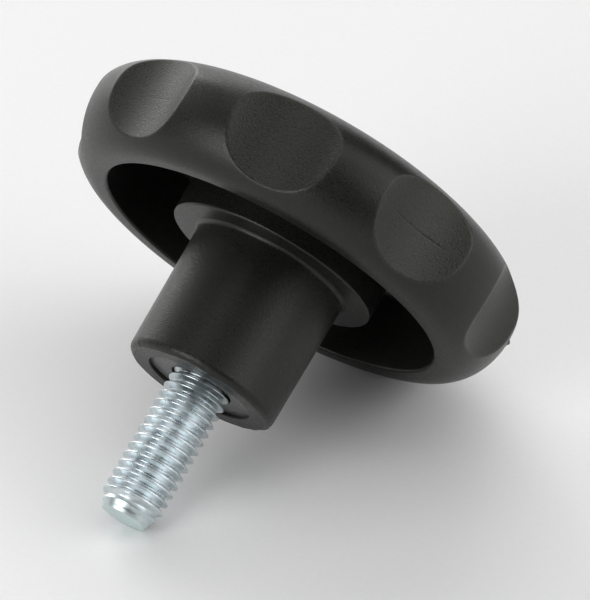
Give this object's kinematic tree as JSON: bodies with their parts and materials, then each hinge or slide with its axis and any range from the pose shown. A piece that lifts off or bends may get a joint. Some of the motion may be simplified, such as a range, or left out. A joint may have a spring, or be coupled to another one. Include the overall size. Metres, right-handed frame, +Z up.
{
  "type": "scalloped hand knob",
  "caption": "Black moulded hand knob with finger scallops round a rounded rim, a hollow underside, a stepped hub and a fixed threaded steel stud.",
  "frame": {"origin": "centre of the knob's outline on the surface that it lies on", "axes": "+Z up; the stud points toward -Y and slopes down to the surface; +X across the rim"},
  "size_m": [0.06, 0.057, 0.0525],
  "materials": {
    "black_plastic": "fine matt moulded grain",
    "zinc_steel": "bright zinc plate"
  },
  "bodies": {
    "root": {"knob_body": "black_plastic", "threaded_stud": "zinc_steel"}
  },
  "joints": []
}
